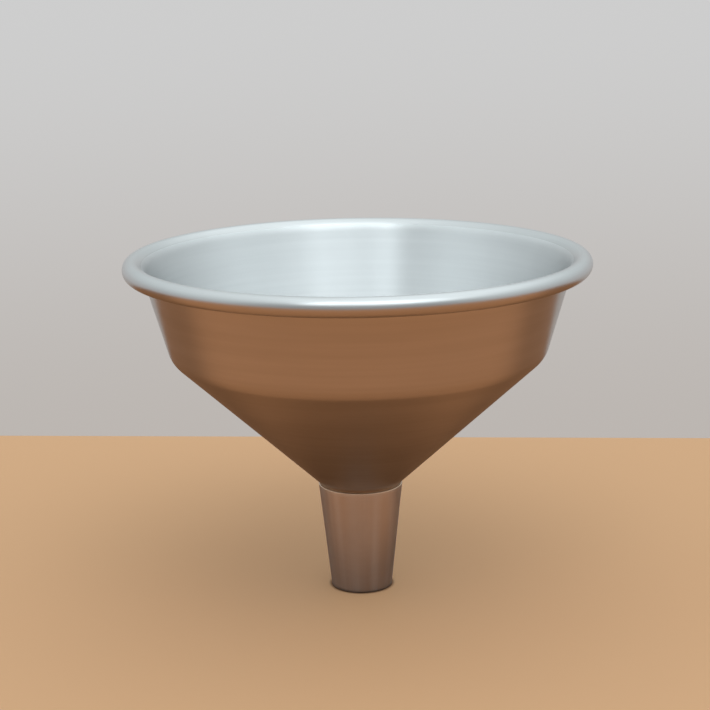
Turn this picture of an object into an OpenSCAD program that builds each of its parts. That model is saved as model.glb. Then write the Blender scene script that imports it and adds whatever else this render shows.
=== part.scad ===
// Spun aluminium funnel: a bowl with a rolled rim and a tapered spout lapped over its neck.
// Millimetres, +Z up, origin at the centre of the spout's foot on the axis of symmetry.
// Every section is drawn as [radius, height] and turned about the Z axis.

/* [Rim] */
// Outside diameter over the rolled rim
rim_d = 127; // [122:0.5:150]
// Height from the spout's foot to the top of the rim
total_h = 95; // [85:0.5:110]
// Thickness of the rolled bead, measured over the metal
bead_d = 5.1; // [4.4:0.1:5.2]
// How far the collar's outside sits inboard of the rim's outside, at the height of the bead's centre
collar_inset = 5; // [4.9:0.1:9]
// Heading of the bead's cut edge, in degrees below the outward horizontal
curl_end = 255; // [180:1:257]

/* [Bowl] */
// Sheet thickness of the bowl
sheet_t = 0.8; // [0.5:0.05:1.05]
// Outside diameter where the collar and the cone would meet in a sharp corner
knee_d = 103; // [85:0.1:108]
// Height of that corner
knee_h = 67.8; // [56:0.1:74]
// Outside radius of the bend that rounds it
knee_r = 7; // [2:0.5:14]

/* [Neck] */
// Outside diameter where the cone and the spout would meet in a sharp corner
neck_d = 23.6; // [20:0.1:30]
// Height of that corner
neck_h = 30.9; // [22:0.1:40]
// Radius of the hollow bend between the cone and the sleeve inside the spout
neck_r = 4; // [2:0.1:6]
// Length of the lap where the bowl's sleeve sits inside the spout
lap_len = 8; // [4:0.5:14]

/* [Spout] */
// Wall thickness of the spout
spout_t = 0.6; // [0.4:0.05:0.9]
// Outside diameter at the foot
foot_d = 16.9; // [12:0.1:19]
// How far the spout's top edge lies below the corner of the neck
seam_drop = 0.9; // [0.6:0.1:1.4]
// Rounding on the outside of the spout's top edge
lip_r = 0.2; // [0.05:0.05:0.25]

/* [Hidden] */

// Sides of a full turn, and the largest turn of one straight step along a bend
turn_sides = 180;
bend_step = 10;

// Headings run along the sheet from the foot upwards, in degrees above the outward horizontal
spout_heading = atan2(neck_h, (neck_d - foot_d) / 2);
cone_heading = atan2(knee_h - neck_h, (knee_d - neck_d) / 2);
bead_centre = [(rim_d - bead_d) / 2, total_h - bead_d / 2];
collar_top = [rim_d / 2 - collar_inset, bead_centre[1]];
knee = [knee_d / 2, knee_h];
collar_heading = atan2(collar_top[1] - knee[1], collar_top[0] - knee[0]);

// The sleeve's outside is the spout's inside, so its corner with the cone slides down the cone
neck_turn = spout_heading - cone_heading;
sleeve_corner = [neck_d / 2, neck_h] - spout_t / sin(neck_turn) * unit(cone_heading);
sleeve_len = lap_len + neck_r * tan(neck_turn / 2);

// The collar flares through a wider bend before it curls into the bead
curl_r = bead_d / 2 - sheet_t;
flare_turn = 40;
flare_heading = collar_heading - flare_turn;
bead_offset = (bead_centre - knee) * unit(collar_heading - 90);
flare_r = (bead_offset - curl_r * cos(flare_turn)) / (1 - cos(flare_turn));
flare_centre = bead_centre + (flare_r - curl_r) * unit(flare_heading - 90);

// The spout's top edge opens out to clear the hollow bend of the neck
neck_centre = bend_centre(sleeve_corner, spout_heading, cone_heading, neck_r);
seam_h = neck_h - seam_drop;
seam_inside_r = neck_centre[0] - sqrt(neck_r ^ 2 - (seam_h - neck_centre[1]) ^ 2);
sleeve_top = sleeve_corner - neck_r * tan(neck_turn / 2) * unit(spout_heading);

function unit(heading) = [cos(heading), sin(heading)];

// Radius of the spout's outside at a height
function spout_r(z) = foot_d / 2 + z / tan(spout_heading);

// Centre of the bend that rounds a corner between two headings
function bend_centre(corner, from, to, r) =
    corner
    - r * tan(abs(to - from) / 2) * unit(from)
    + r * unit(from + 90 * sign(to - from));

// Points along a bend between two headings, on the face a distance "inset" left of the outside face
function bend(centre, r, from, to, inset = 0) =
    let (side = sign(to - from), steps = ceil(abs(to - from) / bend_step))
    [for (i = [0 : steps])
        let (heading = from + (to - from) * i / steps)
        centre + (r - side * inset) * unit(heading - 90 * side)];

function reversed(points) = [for (i = [len(points) - 1 : -1 : 0]) points[i]];

// One face of the bowl's sheet, from the end of the sleeve to the cut edge of the curl
function bowl_face(inset) = concat(
    [sleeve_corner - sleeve_len * unit(spout_heading) + inset * unit(spout_heading + 90)],
    bend(neck_centre, neck_r, spout_heading, cone_heading, inset),
    bend(bend_centre(knee, cone_heading, collar_heading, knee_r), knee_r, cone_heading, collar_heading, inset),
    bend(flare_centre, flare_r, collar_heading, flare_heading, inset),
    bend(bead_centre, curl_r, flare_heading, -curl_end, inset)
);

module turned(points) {
    rotate_extrude($fn = turn_sides) polygon(points);
}

// Collar, cone and neck sleeve spun from one disc of sheet, with the rim rolled outwards
module bowl() {
    color("silver")
        turned(concat(bowl_face(0), reversed(bowl_face(sheet_t))));
}

// Tapered tube lapped over the bowl's sleeve; its foot is the face that the funnel stands on
module spout() {
    wall = spout_t / sin(spout_heading);
    lip_centre = [spout_r(seam_h - lip_r) - lip_r / sin(spout_heading), seam_h - lip_r];
    color("darkgray")
        turned(concat(
            [[foot_d / 2 - wall, 0], [foot_d / 2, 0]],
            bend(lip_centre, lip_r, spout_heading, 180),
            [[seam_inside_r, seam_h], sleeve_top]
        ));
}

bowl();
spout();
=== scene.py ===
"""A spun aluminium funnel on a plain pale floor: a bowl with a rolled rim, and a tapered spout."""

from collections import namedtuple
import math

import bmesh
import bpy
from mathutils import Matrix, Vector, noise


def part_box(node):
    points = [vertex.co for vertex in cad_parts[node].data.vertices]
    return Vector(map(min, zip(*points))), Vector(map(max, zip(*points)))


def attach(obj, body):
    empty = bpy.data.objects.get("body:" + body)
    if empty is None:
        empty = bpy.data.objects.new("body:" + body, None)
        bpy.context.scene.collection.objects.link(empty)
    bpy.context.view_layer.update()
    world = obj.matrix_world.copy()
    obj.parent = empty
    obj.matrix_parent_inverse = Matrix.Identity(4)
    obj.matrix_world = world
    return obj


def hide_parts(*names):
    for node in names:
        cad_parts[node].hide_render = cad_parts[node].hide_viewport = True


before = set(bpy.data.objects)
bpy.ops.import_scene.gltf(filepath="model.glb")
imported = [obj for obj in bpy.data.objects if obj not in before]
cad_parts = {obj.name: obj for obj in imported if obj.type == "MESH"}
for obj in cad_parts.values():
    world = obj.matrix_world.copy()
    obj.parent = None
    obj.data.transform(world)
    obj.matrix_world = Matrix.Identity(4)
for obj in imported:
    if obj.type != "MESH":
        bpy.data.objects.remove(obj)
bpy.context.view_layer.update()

# The frame is in metres. The sheet metal is drawn in millimetres as [radius, height].
MM = 0.001
bowl_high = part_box("bowl")[1] / MM
spout_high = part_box("spout")[1] / MM

# Rolled rim
RIM_RADIUS = bowl_high.x
RIM_TOP = bowl_high.z
BEAD_RADIUS = 2.55
COLLAR_INSET = 5.0
CURL_END = -255
FLARE_TURN = 40

# Bowl and neck
SHEET = 0.8
KNEE = Vector((51.5, 67.8))
KNEE_BEND = 7.0
NECK = Vector((11.8, 30.9))
NECK_BEND = 4.0
SLEEVE_LAP = 8.0

# Spout
SPOUT_WALL = 0.6
FOOT_RADIUS = 8.45
SEAM_HEIGHT = spout_high.z
LIP_ROUND = 0.2
FOOT_ROUND = 0.45
EDGE_ROUND = 0.12

# How finely the outlines and the turn are divided: sides of a full turn, millimetres, degrees
SIDES = 192
STRAIGHT_STEP = 1.0
BEND_STEP = 6.0
KNEE_STEP = 3.0
LIP_STEP = 20.0

# How far the worked metal strays from a true form, in millimetres
SPUN_RIDGE = 0.016
SPUN_WAVER = 0.05
BEAD_GIVE = 0.035
DRAWN_FLAT = 0.02

# Heights between which the ripples come in and die away, in millimetres
SPUN_COMES = (33, 39)
SPUN_GOES = (88, 84)
DRAWN_COMES = (1, 5)
DRAWN_GOES = (27, 24)

# Metals. Each pair of colours is the dark and the light end of the marks left by working.
# The outside's colours are set darker than the inside's, though both faces are one sheet: painted shade
# that dims the outside's and the bead's reflections
OUTSIDE_SHADED_COLOURS = ((0.53, 0.54, 0.545, 1), (0.59, 0.60, 0.605, 1))
INSIDE_COLOURS = ((0.78, 0.80, 0.81, 1), (0.84, 0.86, 0.87, 1))
DRAWN_COLOURS = ((0.65, 0.635, 0.61, 1), (0.71, 0.695, 0.66, 1))
DRAWN_DULL = (0.57, 0.565, 0.555, 1)
# Painted shade: a dark brown laid into the corner where the cone meets the spout
NECK_PAINTED_SHADE = (0.46, 0.35, 0.27, 1)
# Painted reflection: a warm brown laid along the spout's lip, standing in for the brown it reflects
LIP_PAINTED_REFLECTION = (0.69, 0.54, 0.405, 1)
OUTSIDE_ROUGHNESS = 0.288
INSIDE_ROUGHNESS = 0.38
ROUGHNESS_SPREAD = 0.008
WORN_ROUGHNESS = 0.015

# How far the painted shade at the neck and the painted tint at the lip reach on either side of the lap's
# top edge, in millimetres
NECK_SHADE_REACH = 2.0
LIP_TINT_REACH = 0.5

# Spacing of the marks along the metal, in metres, and the depth of their relief
FINE_MARKS = 0.0012
BROAD_MARKS = 0.0045
TUBE_MARKS = 0.0006
TUBE_LENGTH = 0.06
SPUN_RELIEF = 0.000004
DRAWN_RELIEF = 0.000005

# Smudges to a metre
BOWL_SMUDGES = 45.0
SPOUT_SMUDGES = 120.0

# Floor and card, in metres
FLOOR_BACK = 0.148
FLOOR_FRONT = 0.60
FLOOR_HALF_WIDTH = 0.60
FLOOR_THICK = 0.02
FLOOR_TURN = -3.9
CARD_BACK = 0.20
CARD_LIFT = 0.00005
# Painted contact shadow: the radii and tone of the dark line painted where the foot stands
CONTACT_INSIDE = 0.0083
CONTACT_OUTSIDE = 0.0096
CONTACT_SHADOW_TONE = 0.22
FLOOR_COLOUR = (0.58, 0.34, 0.185, 1)
# The painted contact shadow's colour
CONTACT_SHADOW_COLOUR = (0.07, 0.02, 0.008, 1)
WOOD_COLOUR = (0.45, 0.187, 0.079)
# Painted shade on the card: its tone close under the funnel, and behind it towards the middle and the
# sides
WOOD_SHADE_NEAR = 0.53
WOOD_SHADE_BEHIND = (0.46, 0.58)

# Light
LIGHT_AIM = Vector((0, 0, 0.08))
DAYLIGHT = (0.90, 0.985, 1.0)
WALL_LOW = (0.50, 0.465, 0.437, 1)
WALL_HIGH = (0.615, 0.615, 0.615, 1)
SIDE_WALLS = (0.76, 0.825, 0.835, 1)
FRONT_ROOM = (0.42, 0.43, 0.43, 1)
CEILING = (1.34, 1.455, 1.48, 1)
WINDOW_COLOUR = (1.0, 1.09, 1.12)

# Brighter and darker bars in the windows: azimuth and reach in radians, and strength
WINDOW_BARS = (
    (-0.45, 0.20, 0.55),
    (-0.14, 0.09, 0.30),
    (0.40, 0.12, 0.75),
    (0.12, 0.12, -0.30),
)

# Camera, in metres, degrees and millimetres
CAMERA_PLACE = Vector((-0.0010, -0.4539, 0.1746))
CAMERA_PITCH = 13.41
CAMERA_ROLL = -0.89
CAMERA_LENS = 86.0


# ---------------------------------------------------------------- outlines

def unit(heading):
    angle = math.radians(heading)
    return Vector((math.cos(angle), math.sin(angle)))


def heading_of(line):
    return math.degrees(math.atan2(line.y, line.x))


def bend_centre(corner, start, end, radius):
    """Centre of the bend that rounds a corner between two headings."""
    side = math.copysign(1, end - start)
    setback = radius * math.tan(math.radians(abs(end - start)) / 2)
    return corner - setback * unit(start) + radius * unit(start + 90 * side)


def bend(centre, radius, start, end, inset=0.0, step=BEND_STEP):
    """Points along a bend, on the face a distance inset left of the outside face."""
    side = math.copysign(1, end - start)
    steps = max(2, math.ceil(abs(end - start) / step))
    headings = [start + (end - start) * i / steps for i in range(steps + 1)]
    return [centre + (radius - side * inset) * unit(h - 90 * side) for h in headings]


def filled_in(points, step):
    """The same outline with extra points along its long straight stretches."""
    result = []
    for here, there in zip(points, points[1:]):
        pieces = max(1, round((there - here).length / step))
        result += [here.lerp(there, i / pieces) for i in range(pieces)]
    return result + [points[-1]]


SPOUT_HEADING = heading_of(NECK - Vector((FOOT_RADIUS, 0)))
CONE_HEADING = heading_of(KNEE - NECK)
BEAD_CENTRE = Vector((RIM_RADIUS - BEAD_RADIUS, RIM_TOP - BEAD_RADIUS))
COLLAR_HEADING = heading_of(Vector((RIM_RADIUS - COLLAR_INSET, BEAD_CENTRE.y)) - KNEE)
NECK_TURN = math.radians(SPOUT_HEADING - CONE_HEADING)
SLEEVE_CORNER = NECK - SPOUT_WALL / math.sin(NECK_TURN) * unit(CONE_HEADING)
SLEEVE_TOP = SLEEVE_CORNER - NECK_BEND * math.tan(NECK_TURN / 2) * unit(SPOUT_HEADING)
NECK_CENTRE = bend_centre(SLEEVE_CORNER, SPOUT_HEADING, CONE_HEADING, NECK_BEND)


def bowl_face(inset):
    """One face of the bowl's sheet, from the end of the sleeve to the cut edge of the curl."""
    curl = BEAD_RADIUS - SHEET
    flare_heading = COLLAR_HEADING - FLARE_TURN
    turn = math.cos(math.radians(FLARE_TURN))
    bead_offset = (BEAD_CENTRE - KNEE).dot(unit(COLLAR_HEADING - 90))
    flare = (bead_offset - curl * turn) / (1 - turn)
    flare_centre = BEAD_CENTRE + (flare - curl) * unit(flare_heading - 90)
    knee_centre = bend_centre(KNEE, CONE_HEADING, COLLAR_HEADING, KNEE_BEND)
    sleeve_end = SLEEVE_TOP - SLEEVE_LAP * unit(SPOUT_HEADING) + inset * unit(SPOUT_HEADING + 90)
    outline = [sleeve_end]
    outline += bend(NECK_CENTRE, NECK_BEND, SPOUT_HEADING, CONE_HEADING, inset)
    outline += bend(knee_centre, KNEE_BEND, CONE_HEADING, COLLAR_HEADING, inset, KNEE_STEP)
    outline += bend(flare_centre, flare, COLLAR_HEADING, flare_heading, inset)
    outline += bend(BEAD_CENTRE, curl, flare_heading, CURL_END, inset)[1:]
    return filled_in(outline, STRAIGHT_STEP)


def softened(points, corners):
    """A closed outline with some corners rounded: corners maps a point's number to its cut-back."""
    result = []
    count = len(points)
    for i, point in enumerate(points):
        if i not in corners:
            result.append(point)
            continue
        before = point + (points[i - 1] - point).normalized() * corners[i]
        after = point + (points[(i + 1) % count] - point).normalized() * corners[i]
        for t in (0.0, 0.25, 0.5, 0.75, 1.0):
            result.append(before.lerp(point, t).lerp(point.lerp(after, t), t))
    return result


def bowl_outline():
    outside = bowl_face(0)
    inside = bowl_face(SHEET)[::-1]
    last = len(outside) - 1
    corners = (0, last, last + 1, len(outside + inside) - 1)
    return softened(outside + inside, dict.fromkeys(corners, EDGE_ROUND))


def on_inner_wall(here, there):
    """True for the stretches of the bowl's outline that run down its inside, below the bead."""
    return there.y < here.y and here.x < RIM_RADIUS - 2 * BEAD_RADIUS


def spout_outline():
    slope = math.radians(SPOUT_HEADING)
    lip_height = SEAM_HEIGHT - LIP_ROUND
    lip_radius = FOOT_RADIUS + lip_height * (1 / math.tan(slope))
    lip_centre = Vector((lip_radius - LIP_ROUND / math.sin(slope), lip_height))
    drop = SEAM_HEIGHT - NECK_CENTRE.y
    mouth = Vector((NECK_CENTRE.x - math.sqrt(NECK_BEND ** 2 - drop ** 2), SEAM_HEIGHT))
    foot_inside = Vector((FOOT_RADIUS - SPOUT_WALL / math.sin(slope), 0))
    foot_outside = Vector((FOOT_RADIUS, 0))
    outline = [foot_inside, foot_outside] + bend(lip_centre, LIP_ROUND, SPOUT_HEADING, 180, step=LIP_STEP)
    outline += [mouth, SLEEVE_TOP, foot_inside]
    outline = filled_in(outline, STRAIGHT_STEP)[:-1]
    return softened(outline, {0: EDGE_ROUND, 1: FOOT_ROUND})


# ---------------------------------------------------------------- meshes

def fade(value, start, end):
    """0 at the start and before it, rising evenly to 1 at the end."""
    return min(1.0, max(0.0, (value - start) / (end - start)))


def spun_ripple(height, around):
    """Faint ridges left by the spinning tool, and the slow waver of a hand-guided roller."""
    ridge = noise.noise(around * 0.35 + Vector((0, 0, height / 3.2)))
    waver = noise.noise(around * 2.2 + Vector((5, 3, height / 40)))
    return fade(height, *SPUN_COMES) * fade(height, *SPUN_GOES) * (SPUN_RIDGE * ridge + SPUN_WAVER * waver)


def rim_waver(height, around):
    """The rolled bead is never quite even: it gives way inwards by a few hundredths of a millimetre."""
    if height < RIM_TOP - 2 * BEAD_RADIUS:
        return 0.0
    return -BEAD_GIVE * (1 + noise.noise(around * 9.0 + Vector((1, 2, 3))))


def drawn_ripple(height, around):
    """Long shallow flats along the drawn spout. The foot and the lap stay true."""
    ends = min(fade(height, *DRAWN_COMES), fade(height, *DRAWN_GOES))
    return -DRAWN_FLAT * ends * (1 + noise.noise(around * 4.5 + Vector((7, 0, height / 60))))


def turned(name, outline, ripples, in_second_slot=None):
    """Turns a closed outline about the Z axis into one closed shell of quads."""
    mesh = bpy.data.meshes.new(name)
    shell = bmesh.new()
    rings = []
    for side in range(SIDES):
        angle = math.tau * side / SIDES
        around = Vector((math.cos(angle), math.sin(angle), 0))
        ring = []
        for point in outline:
            radius = point.x + sum(ripple(point.y, around) for ripple in ripples)
            place = Vector((radius * math.cos(angle), radius * math.sin(angle), point.y))
            ring.append(shell.verts.new(place * MM))
        rings.append(ring)
    for side, ring in enumerate(rings):
        following = rings[(side + 1) % SIDES]
        for i in range(len(outline)):
            j = (i + 1) % len(outline)
            face = shell.faces.new((ring[i], following[i], following[j], ring[j]))
            face.material_index = int(bool(in_second_slot and in_second_slot(outline[i], outline[j])))
    bmesh.ops.recalc_face_normals(shell, faces=shell.faces)
    shell.to_mesh(mesh)
    shell.free()
    mesh.shade_smooth()
    piece = bpy.data.objects.new(name, mesh)
    bpy.context.scene.collection.objects.link(piece)
    return piece


# ---------------------------------------------------------------- materials

TurnedPlace = namedtuple("TurnedPlace", "place split around radius height")


class Shading:
    """Adds nodes to one node tree. An input is a number, a tuple or another node's socket."""

    def __init__(self, tree):
        self.tree = tree
        tree.nodes.clear()

    def add(self, kind, inputs=(), **settings):
        made = self.tree.nodes.new(kind)
        for key, value in settings.items():
            setattr(made, key, value)
        for key, value in dict(inputs).items():
            if isinstance(value, bpy.types.NodeSocket):
                self.tree.links.new(value, made.inputs[key])
            else:
                made.inputs[key].default_value = value
        return made

    def math(self, operation, a, b=0.0, c=0.0):
        return self.add("ShaderNodeMath", {0: a, 1: b, 2: c}, operation=operation).outputs[0]

    def scaled(self, vector, factor):
        return self.add("ShaderNodeVectorMath", {0: vector, "Scale": factor}, operation="SCALE").outputs[0]

    def ramp(self, value, low, high, to_low=0.0, to_high=1.0):
        """value from low to high, mapped smoothly from to_low to to_high."""
        inputs = {"Value": value, "From Min": low, "From Max": high, "To Min": to_low, "To Max": to_high}
        return self.add("ShaderNodeMapRange", inputs, interpolation_type="SMOOTHSTEP").outputs[0]

    def mixed(self, factor, a, b):
        """Colour a where the factor is 0, colour b where it is 1."""
        return self.add("ShaderNodeMix", {0: factor, 6: a, 7: b}, data_type="RGBA").outputs[2]

    def noise(self, vector, w, detail):
        inputs = {"Vector": vector, "W": w, "Scale": 1.0, "Detail": detail, "Roughness": 0.55}
        return self.add("ShaderNodeTexNoise", inputs, noise_dimensions="4D").outputs[0]

    def away_from(self, value, centre):
        return self.math("ABSOLUTE", self.math("SUBTRACT", value, centre))

    def turned_place(self):
        """The point and its coordinates, its direction and distance from the axis, and its height."""
        place = self.add("ShaderNodeTexCoord").outputs["Object"]
        split = self.add("ShaderNodeSeparateXYZ", {0: place}).outputs
        flat = self.add("ShaderNodeCombineXYZ", {0: split[0], 1: split[1]}).outputs[0]
        radius = self.add("ShaderNodeVectorMath", {0: flat}, operation="LENGTH").outputs["Value"]
        around = self.add("ShaderNodeVectorMath", {0: flat}, operation="NORMALIZE").outputs[0]
        return TurnedPlace(place, split, around, radius, split[2])

    def ringed_noise(self, turned_place, spacing, spread, detail):
        """Noise drawn out into rings about the axis: spacing apart, and spread features to a radian."""
        level = self.math("DIVIDE", turned_place.height, spacing)
        raised = self.add("ShaderNodeCombineXYZ", {2: level}).outputs[0]
        swept = self.scaled(turned_place.around, spread)
        vector = self.add("ShaderNodeVectorMath", {0: raised, 1: swept}, operation="ADD").outputs[0]
        return self.noise(vector, self.math("DIVIDE", turned_place.radius, spacing), detail)

    def seam_shade(self, height, reach):
        """1 at the top of the lap, fading to 0 at a reach in millimetres above and below it: the mask for
        the shade and the tint painted along the seam.
        """
        return self.ramp(self.away_from(height, SEAM_HEIGHT * MM), reach * MM, 0.2 * reach * MM)

    def contact_shade(self, radius):
        """1 on the open floor, falling to a darker tone along the line where the foot stands: a painted
        contact shadow.
        """
        return self.ramp(radius, CONTACT_INSIDE, CONTACT_OUTSIDE, CONTACT_SHADOW_TONE, 1.0)


def new_surface(name, inputs, **settings):
    """A material with one principled shader, and what is needed to add nodes to it."""
    material = bpy.data.materials.new(name)
    material.use_nodes = True
    shading = Shading(material.node_tree)
    surface = shading.add("ShaderNodeBsdfPrincipled", inputs, **settings)
    shading.add("ShaderNodeOutputMaterial", {0: surface.outputs[0]})
    return material, shading, surface


def new_metal(name, anisotropic):
    """An aluminium surface with its reflections drawn out by fine marks that run round the axis."""
    inputs = {"Metallic": 1.0, "Anisotropic": anisotropic, "Anisotropic Rotation": 0.25}
    material, shading, surface = new_surface(name, inputs, distribution="GGX")
    tangent = shading.add("ShaderNodeTangent", direction_type="RADIAL", axis="Z")
    shading.tree.links.new(tangent.outputs[0], surface.inputs["Tangent"])
    return material, shading, surface


def finish_metal(shading, surface, colour, roughness, relief, depth):
    bump = shading.add("ShaderNodeBump", {"Height": relief, "Strength": 1.0, "Distance": depth})
    shading.tree.links.new(colour, surface.inputs["Base Color"])
    shading.tree.links.new(roughness, surface.inputs["Roughness"])
    shading.tree.links.new(bump.outputs[0], surface.inputs["Normal"])


def spun_material(name, anisotropic, colours, satin, neck_shaded=False):
    """Spun sheet: fine brush lines and broader rings round the axis, and faint handling marks.
    A face given the neck shade has a brownish shade painted into the corner above the spout."""
    material, shading, surface = new_metal(name, anisotropic)
    dark, light = colours
    where = shading.turned_place()
    fine = shading.ringed_noise(where, FINE_MARKS, 0.8, 2.0)
    broad = shading.ringed_noise(where, BROAD_MARKS, 0.7, 2.0)
    smudge = shading.noise(shading.scaled(where.place, BOWL_SMUDGES), 0.0, 3.0)
    tone = shading.math("MULTIPLY_ADD", fine, 0.35, shading.math("MULTIPLY", broad, 0.65))
    colour = shading.mixed(shading.ramp(tone, 0.3, 0.7), dark, light)
    colour = shading.mixed(shading.ramp(smudge, 0.45, 0.75, 0.0, 0.35), colour, dark)
    # Painted shade: the corner above the spout is darkened towards a dark brown
    if neck_shaded:
        colour = shading.mixed(shading.seam_shade(where.height, NECK_SHADE_REACH), colour, NECK_PAINTED_SHADE)
    worn = shading.ramp(smudge, 0.45, 0.75, 0.0, WORN_ROUGHNESS)
    marked = shading.ramp(tone, 0.3, 0.7, satin - ROUGHNESS_SPREAD, satin + ROUGHNESS_SPREAD)
    roughness = shading.math("ADD", marked, worn)
    finish_metal(shading, surface, colour, roughness, fine, SPUN_RELIEF)
    return material


def spout_material():
    """Drawn tube, more matt than the bowl, with broad worn bands and faint streaks running down it."""
    material, shading, surface = new_metal("drawn_aluminium", 0.6)
    where = shading.turned_place()
    length_wise = shading.math("DIVIDE", where.height, TUBE_LENGTH)
    bands = shading.noise(shading.scaled(where.around, 3.2), length_wise, 1.0)
    streaks = shading.noise(shading.scaled(where.around, 14.0), length_wise, 2.0)
    rings = shading.ringed_noise(where, TUBE_MARKS, 2.0, 3.0)
    smudge = shading.noise(shading.scaled(where.place, SPOUT_SMUDGES), 0.0, 3.0)
    drawn = shading.math("MULTIPLY_ADD", bands, 0.65, shading.math("MULTIPLY", streaks, 0.2))
    tone = shading.math("MULTIPLY_ADD", rings, 0.15, drawn)
    colour = shading.mixed(shading.ramp(tone, 0.35, 0.65), *DRAWN_COLOURS)
    colour = shading.mixed(shading.ramp(smudge, 0.4, 0.8, 0.0, 0.4), colour, DRAWN_DULL)
    # Painted reflection: a warm brown tint along the lip at the seam
    colour = shading.mixed(shading.seam_shade(where.height, LIP_TINT_REACH), colour, LIP_PAINTED_REFLECTION)
    roughness = shading.ramp(tone, 0.35, 0.65, 0.33, 0.40)
    finish_metal(shading, surface, colour, roughness, tone, DRAWN_RELIEF)
    return material


# ---------------------------------------------------------------- the funnel

def make_bowl():
    bowl = turned("bowl_skin", bowl_outline(), (spun_ripple, rim_waver), on_inner_wall)
    # The outside and the bead take the darker colours: painted shade against the inside
    outside = spun_material("spun_aluminium", 0.55, OUTSIDE_SHADED_COLOURS, OUTSIDE_ROUGHNESS, neck_shaded=True)
    inside = spun_material("brushed_aluminium", 1.0, INSIDE_COLOURS, INSIDE_ROUGHNESS)
    bowl.data.materials.append(outside)
    bowl.data.materials.append(inside)
    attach(bowl, "root")
    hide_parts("bowl")


def make_spout():
    spout = turned("spout_skin", spout_outline(), (drawn_ripple,))
    spout.data.materials.append(spout_material())
    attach(spout, "root")
    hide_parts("spout")


# ---------------------------------------------------------------- the stage

def make_slab(name, top, back, material):
    """A plain slab with its top at one height and its back edge some way behind the funnel."""
    mesh = bpy.data.meshes.new(name)
    shape = bmesh.new()
    bmesh.ops.create_cube(shape, size=1.0)
    depth = FLOOR_FRONT + back
    bmesh.ops.scale(shape, verts=shape.verts, vec=(2 * FLOOR_HALF_WIDTH, depth, FLOOR_THICK))
    middle = Vector((0, back - depth / 2, top - FLOOR_THICK / 2))
    bmesh.ops.translate(shape, verts=shape.verts, vec=middle)
    turn = Matrix.Rotation(math.radians(FLOOR_TURN), 3, "Z")
    bmesh.ops.rotate(shape, verts=shape.verts, cent=(0, back, 0), matrix=turn)
    shape.to_mesh(mesh)
    shape.free()
    slab = bpy.data.objects.new(name, mesh)
    bpy.context.scene.collection.objects.link(slab)
    mesh.materials.append(material)
    return slab


def floor_material():
    inputs = {"Roughness": 0.7, "Specular IOR Level": 0.15}
    material, shading, surface = new_surface("pale_floor", inputs)
    # Painted contact shadow: the floor darkens to a dark brown along the line where the foot stands
    shade = shading.contact_shade(shading.turned_place().radius)
    colour = shading.mixed(shade, CONTACT_SHADOW_COLOUR, FLOOR_COLOUR)
    shading.tree.links.new(colour, surface.inputs["Base Color"])
    return material


def card_material():
    """Wood tones, with painted shade: darker close under the funnel and behind it, where its shadow falls.
    """
    inputs = {"Roughness": 0.7, "Specular IOR Level": 0.0}
    material, shading, surface = new_surface("warm_card", inputs)
    where = shading.turned_place()
    # Painted shade: the card darkens close under the funnel and behind it
    near = shading.ramp(where.radius, 0.02, 0.06, WOOD_SHADE_NEAR, 1.0)
    far_back = shading.ramp(shading.math("ABSOLUTE", where.split[0]), 0.10, 0.18, *WOOD_SHADE_BEHIND)
    behind = shading.ramp(where.split[1], -0.03, 0.05, 1.0, far_back)
    tone = shading.math("MULTIPLY", near, behind)
    # Painted contact shadow where the foot stands, as the reflections see it
    tone = shading.math("MULTIPLY", tone, shading.contact_shade(where.radius))
    shading.tree.links.new(shading.scaled(WOOD_COLOUR, tone), surface.inputs["Base Color"])
    return material


def make_floor():
    """A plain pale floor with a painted contact shadow where the foot stands, and a wood-toned card just
    above it that only the metal's reflections see.
    """
    floor = make_slab("floor", 0.0, FLOOR_BACK, floor_material())
    floor.visible_glossy = False
    card = make_slab("warm_card", CARD_LIFT, CARD_BACK, card_material())
    card.visible_camera = False
    card.visible_diffuse = False
    card.visible_shadow = False


def make_softbox(name, azimuth, elevation, distance, radiance):
    """A rectangular light that fills a span of azimuth and elevation seen from the bowl.
    The spans are in degrees. Azimuth 0 is in front, and grows towards +X."""
    side, rise = (math.radians(sum(span) / 2) for span in (azimuth, elevation))
    half_side, half_rise = (math.radians(span[1] - span[0]) / 2 for span in (azimuth, elevation))
    width = 2 * distance * math.tan(half_side) * math.cos(rise)
    height = 2 * distance * math.tan(half_rise)
    light = bpy.data.lights.new(name, "AREA")
    light.shape = "RECTANGLE"
    light.size = width
    light.size_y = height
    light.energy = radiance * width * height * math.pi
    light.color = DAYLIGHT
    softbox = bpy.data.objects.new(name, light)
    back = Vector((math.sin(side) * math.cos(rise), -math.cos(side) * math.cos(rise), math.sin(rise)))
    softbox.location = LIGHT_AIM + back * distance
    softbox.rotation_mode = "QUATERNION"
    softbox.rotation_quaternion = back.to_track_quat("Z", "Y")
    bpy.context.scene.collection.objects.link(softbox)


def make_lights():
    """Two weak softboxes, above the camera and overhead, that give the funnel its soft shadow."""
    make_softbox("softbox", azimuth=(-24, 21), elevation=(45, 78), distance=1.5, radiance=0.04)
    make_softbox("overhead", azimuth=(-20, 20), elevation=(75, 105), distance=1.2, radiance=0.16)


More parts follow.
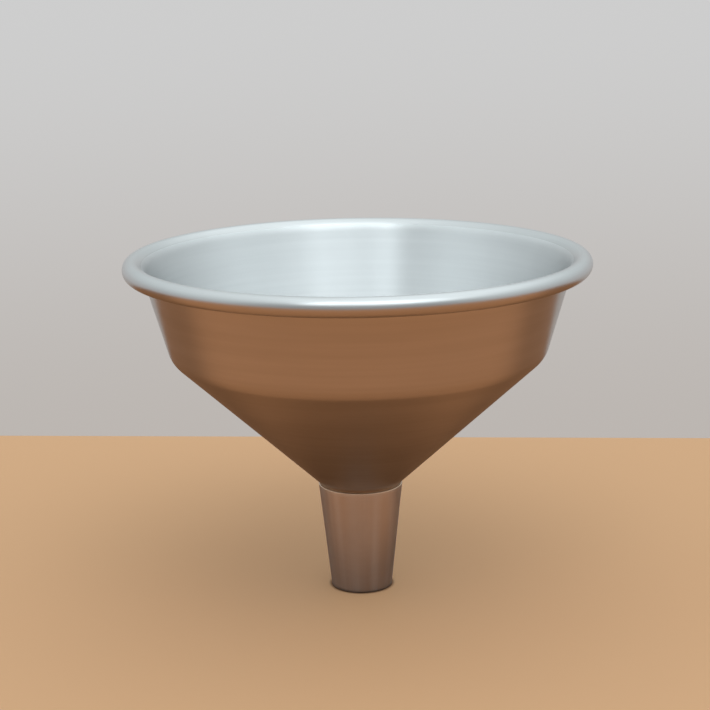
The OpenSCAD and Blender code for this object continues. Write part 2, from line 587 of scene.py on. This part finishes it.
def window_light(shading, split):
    """How much the windows in front add. Azimuth is 0 in front, and grows towards -X.
    They fade out slowly towards +X, and end sharply towards -X."""
    across = shading.math("MULTIPLY", split[0], -1.0)
    ahead = shading.math("MULTIPLY", split[1], -1.0)
    azimuth = shading.math("ARCTAN2", across, ahead)
    slow_end = shading.ramp(azimuth, -1.30, -0.52)
    sharp_end = shading.ramp(azimuth, 0.60, 0.51)
    beyond = shading.ramp(azimuth, 0.50, 0.64, 0.0, -0.22)
    pane = shading.math("ADD", shading.math("MULTIPLY", slow_end, sharp_end), beyond)
    for centre, reach, strength in WINDOW_BARS:
        bar = shading.ramp(shading.away_from(azimuth, centre), reach, 0.0)
        pane = shading.math("MULTIPLY_ADD", bar, strength, pane)
    low = shading.ramp(split[2], 0.48, 0.70)
    high = shading.ramp(split[2], 0.98, 0.90)
    return shading.math("MULTIPLY", pane, shading.math("MULTIPLY", low, high))


def make_room():
    """Pale surroundings: a wall behind, a dimmer room with windows in front, and a bright ceiling."""
    world = bpy.data.worlds.new("room")
    bpy.context.scene.world = world
    world.use_nodes = True
    shading = Shading(world.node_tree)
    direction = shading.add("ShaderNodeTexCoord").outputs["Generated"]
    split = shading.add("ShaderNodeSeparateXYZ", {0: direction}).outputs
    up = split[2]
    in_front = shading.ramp(split[1], -0.35, -0.85)
    wall = shading.mixed(shading.ramp(up, -0.30, -0.02), WALL_LOW, WALL_HIGH)
    sides = shading.mixed(shading.ramp(up, 0.0, 0.35), wall, SIDE_WALLS)
    room = shading.mixed(in_front, sides, FRONT_ROOM)
    ceiling_start = shading.math("MULTIPLY_ADD", in_front, 0.2, 0.88)
    sky = shading.mixed(shading.ramp(up, 0.30, ceiling_start), room, CEILING)
    windows = shading.scaled(WINDOW_COLOUR, window_light(shading, split))
    light = shading.add("ShaderNodeVectorMath", {0: sky, 1: windows}, operation="ADD").outputs[0]
    background = shading.add("ShaderNodeBackground", {"Color": light, "Strength": 1.0})
    shading.add("ShaderNodeOutputWorld", {0: background.outputs[0]})


def make_camera():
    data = bpy.data.cameras.new("camera")
    data.sensor_width = 36.0
    data.lens = CAMERA_LENS
    data.clip_start = 0.01
    camera = bpy.data.objects.new("camera", data)
    bpy.context.scene.collection.objects.link(camera)
    tilt = Matrix.Rotation(math.radians(90 - CAMERA_PITCH), 4, "X")
    roll = Matrix.Rotation(math.radians(CAMERA_ROLL), 4, "Z")
    camera.matrix_world = Matrix.Translation(CAMERA_PLACE) @ tilt @ roll
    bpy.context.scene.camera = camera


bpy.context.scene.view_settings.view_transform = "Standard"
make_camera()
make_bowl()
make_spout()
make_floor()
make_lights()
make_room()
